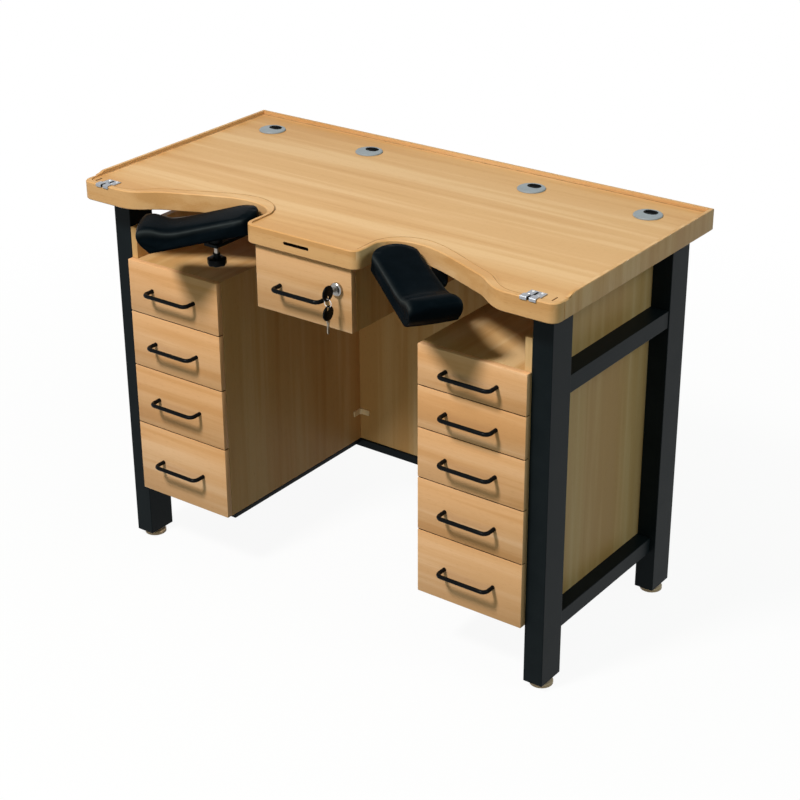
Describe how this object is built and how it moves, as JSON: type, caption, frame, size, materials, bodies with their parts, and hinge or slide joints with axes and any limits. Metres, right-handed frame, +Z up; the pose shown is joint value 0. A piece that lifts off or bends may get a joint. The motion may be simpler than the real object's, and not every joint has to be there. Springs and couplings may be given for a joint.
{
  "type": "watchmakers bench",
  "caption": "Beech watchmaking bench with scooped front bays, padded swivel arm rests, drawer pedestals, a locking centre drawer and a black tube frame on levelling feet",
  "frame": {"origin": "on the floor, under the middle of the bounding box", "axes": "X along the length of the bench to the right of the sitter, Y from the front to the back, Z up"},
  "size_m": [1.2, 0.7114, 0.895],
  "materials": {
    "beech_top": "clear lacquered beech",
    "beech_front": "clear lacquered beech with level grain",
    "beech_panel": "beech decor with upright grain",
    "black_steel": "black powder coat",
    "black_lacquer": "satin black lacquer",
    "bright_steel": "bright nickel plate",
    "grey_plastic": "grey moulded plastic",
    "foot_plastic": "beige moulded plastic",
    "brace_plastic": "beige moulded plastic",
    "black_plastic": "black moulded plastic",
    "black_leatherette": "soft black leatherette over foam"
  },
  "bodies": {
    "bench": {"back_left_foot": "foot_plastic", "back_left_leg": "black_steel", "back_panel": "beech_panel", "back_right_foot": "foot_plastic", "back_right_leg": "black_steel", "cable_grommet_1": "grey_plastic", "cable_grommet_2": "grey_plastic", "cable_grommet_3": "grey_plastic", "cable_grommet_4": "grey_plastic", "centre_drawer_housing": "beech_panel", "corner_brace": "brace_plastic", "front_left_foot": "foot_plastic", "front_left_leg": "black_steel", "front_right_foot": "foot_plastic", "front_right_leg": "black_steel", "left_accessory_plate": "bright_steel", "left_arm_bracket": "black_steel", "left_lower_frame": "black_steel", "left_pedestal_carcass": "beech_panel", "left_side_panel": "beech_panel", "left_upper_side_rail": "black_steel", "lip_rail": "beech_top", "rear_rail": "black_steel", "right_accessory_plate": "bright_steel", "right_arm_bracket": "black_steel", "right_lower_frame": "black_steel", "right_pedestal_carcass": "beech_panel", "right_side_panel": "beech_panel", "right_upper_side_rail": "black_steel", "worktop": "beech_top"},
    "left_drawer_1_body": {"left_drawer_1": "beech_front", "left_handle_1": "black_lacquer"},
    "left_drawer_2_body": {"left_drawer_2": "beech_front", "left_handle_2": "black_lacquer"},
    "left_drawer_3_body": {"left_drawer_3": "beech_front", "left_handle_3": "black_lacquer"},
    "left_drawer_4_body": {"left_drawer_4": "beech_front", "left_handle_4": "black_lacquer"},
    "right_drawer_1_body": {"right_drawer_1": "beech_front", "right_handle_1": "black_lacquer"},
    "right_drawer_2_body": {"right_drawer_2": "beech_front", "right_handle_2": "black_lacquer"},
    "right_drawer_3_body": {"right_drawer_3": "beech_front", "right_handle_3": "black_lacquer"},
    "right_drawer_4_body": {"right_drawer_4": "beech_front", "right_handle_4": "black_lacquer"},
    "right_drawer_5_body": {"right_drawer_5": "beech_front", "right_handle_5": "black_lacquer"},
    "centre_drawer_body": {"centre_drawer": "beech_front", "centre_handle": "black_lacquer", "lock_barrel": "bright_steel"},
    "lock_body": {"lock_cam": "bright_steel", "key": "black_plastic"},
    "spare_key_body": {"spare_key": "black_plastic"},
    "left_arm_body": {"left_arm_base": "black_steel", "left_arm_pad": "black_leatherette"},
    "left_knob_body": {"left_arm_knob": "black_plastic"},
    "right_arm_body": {"right_arm_base": "black_steel", "right_arm_pad": "black_leatherette"},
    "right_knob_body": {"right_arm_knob": "black_plastic"}
  },
  "joints": [
    {"name": "left_drawer_1_slide", "type": "slide", "parent": "bench", "child": "left_drawer_1_body", "axis": [0, -1, 0], "range_m": [0, 0.32]},
    {"name": "left_drawer_2_slide", "type": "slide", "parent": "bench", "child": "left_drawer_2_body", "axis": [0, -1, 0], "range_m": [0, 0.32]},
    {"name": "left_drawer_3_slide", "type": "slide", "parent": "bench", "child": "left_drawer_3_body", "axis": [0, -1, 0], "range_m": [0, 0.32]},
    {"name": "left_drawer_4_slide", "type": "slide", "parent": "bench", "child": "left_drawer_4_body", "axis": [0, -1, 0], "range_m": [0, 0.32]},
    {"name": "right_drawer_1_slide", "type": "slide", "parent": "bench", "child": "right_drawer_1_body", "axis": [0, -1, 0], "range_m": [0, 0.32]},
    {"name": "right_drawer_2_slide", "type": "slide", "parent": "bench", "child": "right_drawer_2_body", "axis": [0, -1, 0], "range_m": [0, 0.32]},
    {"name": "right_drawer_3_slide", "type": "slide", "parent": "bench", "child": "right_drawer_3_body", "axis": [0, -1, 0], "range_m": [0, 0.32]},
    {"name": "right_drawer_4_slide", "type": "slide", "parent": "bench", "child": "right_drawer_4_body", "axis": [0, -1, 0], "range_m": [0, 0.32]},
    {"name": "right_drawer_5_slide", "type": "slide", "parent": "bench", "child": "right_drawer_5_body", "axis": [0, -1, 0], "range_m": [0, 0.32]},
    {"name": "centre_drawer_slide", "type": "slide", "parent": "bench", "child": "centre_drawer_body", "axis": [0, -1, 0], "range_m": [0, 0.24]},
    {"name": "lock_turn", "type": "hinge", "parent": "centre_drawer_body", "child": "lock_body", "pos_m": [0.0875, -0.25234, 0.7963], "axis": [0, 1, 0], "range_deg": [0, 90]},
    {"name": "spare_key_swing", "type": "hinge", "parent": "lock_body", "child": "spare_key_body", "pos_m": [0.0875, -0.27534, 0.7813], "axis": [0, 1, 0], "range_deg": [-95, 5]},
    {"name": "left_arm_swivel", "type": "hinge", "parent": "bench", "child": "left_arm_body", "pos_m": [-0.2526, -0.21934, 0.8357], "axis": [0, 0, -1], "range_deg": [-3, 15]},
    {"name": "left_knob_turn", "type": "hinge", "parent": "left_arm_body", "child": "left_knob_body", "pos_m": [-0.2526, -0.21934, 0.8357], "axis": [0, 0, 1], "continuous": true},
    {"name": "right_arm_swivel", "type": "hinge", "parent": "bench", "child": "right_arm_body", "pos_m": [0.2526, -0.21934, 0.8357], "axis": [0, 0, 1], "range_deg": [-3, 15]},
    {"name": "right_knob_turn", "type": "hinge", "parent": "right_arm_body", "child": "right_knob_body", "pos_m": [0.2526, -0.21934, 0.8357], "axis": [0, 0, 1], "continuous": true}
  ],
  "couplings": [
    {"joint": "spare_key_swing", "follows": "lock_turn", "ratio": -1}
  ]
}
